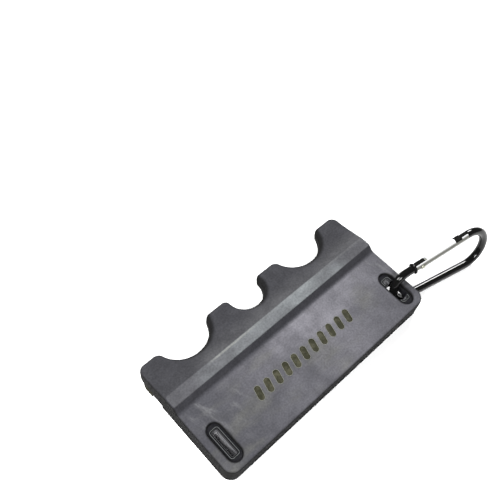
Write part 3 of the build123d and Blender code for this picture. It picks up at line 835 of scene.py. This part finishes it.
class HOLDER_OT_gate(bpy.types.Operator):
    """Finish the gate and add its rivet, plunger and spring"""

    bl_idname = "holder.gate"
    bl_label = "Clip gate"

    def execute(self, context):
        settings = context.scene.clip_settings
        silver = polished_gate(settings)
        steel = plain_metal("plain_steel", "#89897D", 0.34, 0.6, 0.01)
        fit(smooth_copy("gate_tube", "clip_gate"), silver, GATE, ["clip_gate"])
        dome = np.linspace(0, math.pi / 2, 7)
        head = np.stack([2.2 + 0.6 * np.sin(dome), 1.4 * np.cos(dome) + 0.005], axis=-1)
        profile = np.concatenate([-head[::-1] * [1, -1], [[-2.2, 0.8]], [[2.2, 0.8]], head])
        # Rivet: a shank of radius 0.8 between two domed heads
        rivet = surface("rivet_pin", [turned(RIVET, OUT, profile, 32)])
        fit(rivet, steel, GATE, ["gate_rivet"])
        start = RIVET + GATE_ALONG * 2.47
        # Plunger: a head of radius 1.15, and a stem of radius 0.6 that guides the spring
        head = [(0, 0.01), (0, 1.05), (0.1, 1.15), (3.4, 1.15), (3.5, 1.05)]
        profile = head + [(3.5, 0.6), (7.3, 0.6), (7.5, 0.4), (7.5, 0.01)]
        plunger = surface("plunger_pin", [turned(start, GATE_ALONG, profile, 32)])
        fit(plunger, steel, PLUNGER, ["gate_plunger"])
        # Spring: point = start + share of the turns along the gate + coil radius * direction of the turn
        coil_turns, coil_start, coil_end = 7, 7.19, 14.78
        coil_radius, wire_radius = 0.95, 0.2
        turns = np.linspace(0, coil_turns * 2 * math.pi, coil_turns * 20)
        first = RIVET + GATE_ALONG * coil_start
        step = (coil_end - coil_start) / turns[-1]
        radial = np.cos(turns)[:, None] * OUT + np.sin(turns)[:, None] * GATE_UP
        path = first + turns[:, None] * step * GATE_ALONG + coil_radius * radial
        wire_angle = np.linspace(0, 2 * math.pi, 8, endpoint=False)
        ring = wire_radius * np.stack([np.cos(wire_angle), np.sin(wire_angle)], axis=-1)
        wire = carried(path, radial, np.broadcast_to(GATE_ALONG, path.shape), ring)
        fit(surface("gate_coil", [wire], cap=True), steel, GATE, ["gate_spring"])
        return {"FINISHED"}


class HOLDER_OT_stage(bpy.types.Operator):
    """Set the floor, the soft studio light and the camera"""

    bl_idname = "holder.stage"
    bl_label = "Stage"

    def execute(self, context):
        settings = context.scene.stage_settings
        half = 3000.0
        near, far = [[-half, -half, 0], [half, -half, 0]], [[-half, half, 0], [half, half, 0]]
        corners = np.array([near, far], float)
        floor = surface("floor", [corners], close_columns=False)
        # White paper sweep: bright and without gloss, so that nothing mirrors in it
        white = {"Base Color": linear(settings.floor_colour), "Roughness": 0.9, "Specular IOR Level": 0.1}
        paper, tree, shader, where = new_material("white_paper", white)
        fibre = node(tree, "ShaderNodeTexNoise", {}, {"Scale": METRE / 1.2}, {"Vector": (where, "Object")})
        bump = node(
            tree, "ShaderNodeBump", {}, {"Strength": 1.0, "Distance": 0.01 * MM}, {"Height": (fibre, "Fac")}
        )
        tree.links.new(bump.outputs["Normal"], shader.inputs["Normal"])
        floor.data.materials.append(paper)
        world = bpy.data.worlds.new("studio_world")
        world.use_nodes = True
        world.node_tree.nodes["Background"].inputs["Color"].default_value = (1.0, 1.0, 1.0, 1.0)
        world.node_tree.nodes["Background"].inputs["Strength"].default_value = settings.sky_strength
        context.scene.world = world
        for name, power, place in (
            ("right_softbox", settings.right_power, (0.72, 0.39, 0.65)),
            ("left_softbox", settings.left_power, (-0.60, 0.35, 0.72)),
            ("rear_softbox", settings.rear_power, (-0.42, -0.62, 0.66)),
        ):
            data = bpy.data.lights.new(name, "AREA")
            data.size = settings.softbox_size
            data.energy = power
            light = bpy.data.objects.new(name, data)
            light.location = place
            light.rotation_euler = (-Vector(place)).to_track_quat("-Z", "Y").to_euler()
            context.scene.collection.objects.link(light)
        lens = bpy.data.cameras.new("camera")
        lens.lens = settings.lens
        lens.shift_x = 0.0378
        lens.shift_y = -0.0278
        camera = bpy.data.objects.new("camera", lens)
        camera.location = (-0.12635, -0.0712, 0.3084)
        camera.rotation_euler = [math.radians(angle) for angle in (32.84, -3.50, -42.44)]
        context.scene.collection.objects.link(camera)
        context.scene.camera = camera
        context.scene.view_settings.view_transform = "Standard"
        return {"FINISHED"}


class HOLDER_PT_panel(bpy.types.Panel):
    """Sidebar panel with one button for each group of pieces"""

    bl_idname = "HOLDER_PT_panel"
    bl_label = "Cue holder"
    bl_space_type = "VIEW_3D"
    bl_region_type = "UI"
    bl_category = "Cue holder"

    def draw(self, context):
        for step in STEPS:
            self.layout.operator(step.bl_idname)
        scene = context.scene
        for group in (scene.holder_settings, scene.clip_settings, scene.stage_settings):
            box = self.layout.box()
            for name in group.__annotations__:
                box.prop(group, name)


STEPS = (
    HOLDER_OT_moulding,
    HOLDER_OT_bars,
    HOLDER_OT_sleeves,
    HOLDER_OT_clip,
    HOLDER_OT_gate,
    HOLDER_OT_stage,
)
GROUPS = (HolderSettings, ClipSettings, StageSettings)


def register():
    """Registers the classes and hangs the settings on the scene."""
    for item in (*GROUPS, *STEPS, HOLDER_PT_panel):
        bpy.utils.register_class(item)
    bpy.types.Scene.holder_settings = bpy.props.PointerProperty(type=HolderSettings)
    bpy.types.Scene.clip_settings = bpy.props.PointerProperty(type=ClipSettings)
    bpy.types.Scene.stage_settings = bpy.props.PointerProperty(type=StageSettings)


def unregister():
    """Takes the settings off the scene and unregisters the classes."""
    del bpy.types.Scene.stage_settings
    del bpy.types.Scene.clip_settings
    del bpy.types.Scene.holder_settings
    for item in reversed((*GROUPS, *STEPS, HOLDER_PT_panel)):
        bpy.utils.unregister_class(item)


def main():
    register()
    bpy.ops.holder.moulding()
    bpy.ops.holder.bars()
    bpy.ops.holder.sleeves()
    bpy.ops.holder.clip()
    bpy.ops.holder.gate()
    bpy.ops.holder.stage()


if __name__ == "__main__":
    main()
